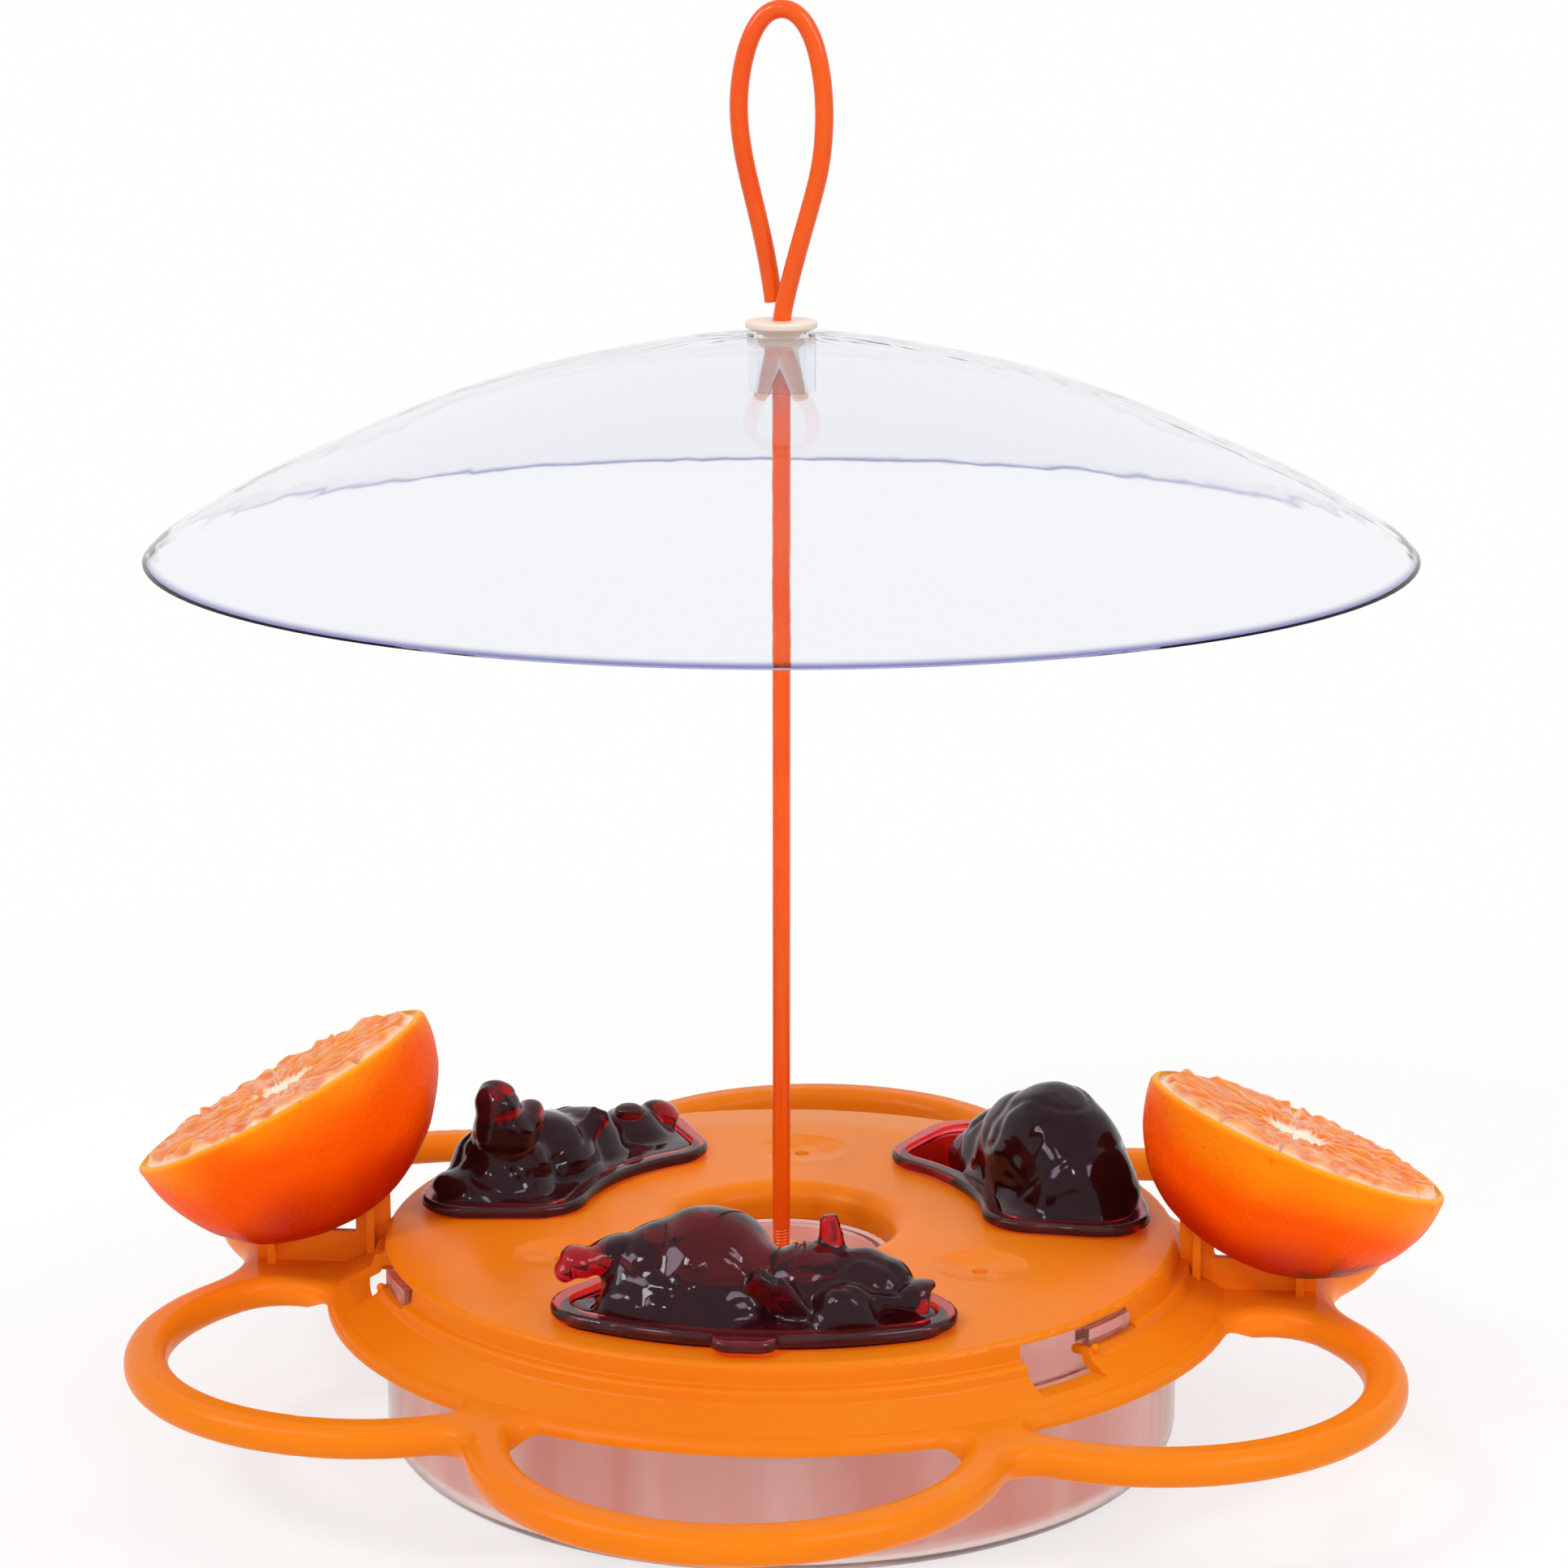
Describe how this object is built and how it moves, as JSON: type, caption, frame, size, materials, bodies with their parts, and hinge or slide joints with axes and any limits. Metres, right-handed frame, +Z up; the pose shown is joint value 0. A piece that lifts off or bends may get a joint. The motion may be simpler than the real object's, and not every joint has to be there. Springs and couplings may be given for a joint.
{
  "type": "oriole feeder",
  "caption": "Hanging bird feeder: clear nectar bowl with an ant moat, an orange twist-lock lid with a looped perch ring, jelly dishes, fruit spikes and a clear rain dome on its rod.",
  "frame": {"origin": "centre of the bowl's underside, on the surface that it stands on", "axes": "+Z up along the hanger rod; the two fruit brackets lie on the X axis; the front jelly dish is on -Y"},
  "size_m": [0.3253, 0.3344, 0.3541],
  "materials": {
    "bowl_clear": "clear, tinted pink, polished",
    "lid_orange": "moulded, smooth satin gloss",
    "insert_brass": "turned",
    "rod_coating": "glossy coating",
    "dome_clear": "clear, polished",
    "grommet_soft": "translucent, milky",
    "dish_wine": "clear wine red, polished",
    "jelly": "wet gel",
    "orange_peel": "dimpled rind, with moist flesh on the cut face"
  },
  "bodies": {
    "bowl": {"nectar_bowl": "bowl_clear", "rod_insert": "insert_brass"},
    "lid": {"feeder_lid": "lid_orange", "jelly_dish_front": "dish_wine", "jelly_front": "jelly", "jelly_dish_left": "dish_wine", "jelly_left": "jelly", "jelly_dish_right": "dish_wine", "jelly_right": "jelly", "orange_half_left": "orange_peel", "orange_half_right": "orange_peel"},
    "rod": {"hanger_rod": "rod_coating"},
    "grommet": {"dome_grommet": "grommet_soft"},
    "dome": {"dome_guard": "dome_clear"}
  },
  "joints": [
    {"name": "lid_twist", "type": "hinge", "parent": "bowl", "child": "lid", "pos_m": [0, 0, 0], "axis": [0, 0, 1], "range_deg": [0, 11.3]},
    {"name": "rod_screw", "type": "hinge", "parent": "bowl", "child": "rod", "pos_m": [0, 0, 0], "axis": [0, 0, 1], "range_deg": [0, 360]},
    {"name": "dome_height", "type": "slide", "parent": "rod", "child": "grommet", "axis": [0, 0, 1], "range_m": [-0.1, 0]},
    {"name": "dome_spin", "type": "hinge", "parent": "grommet", "child": "dome", "pos_m": [0, 0, 0], "axis": [0, 0, 1], "continuous": true}
  ]
}
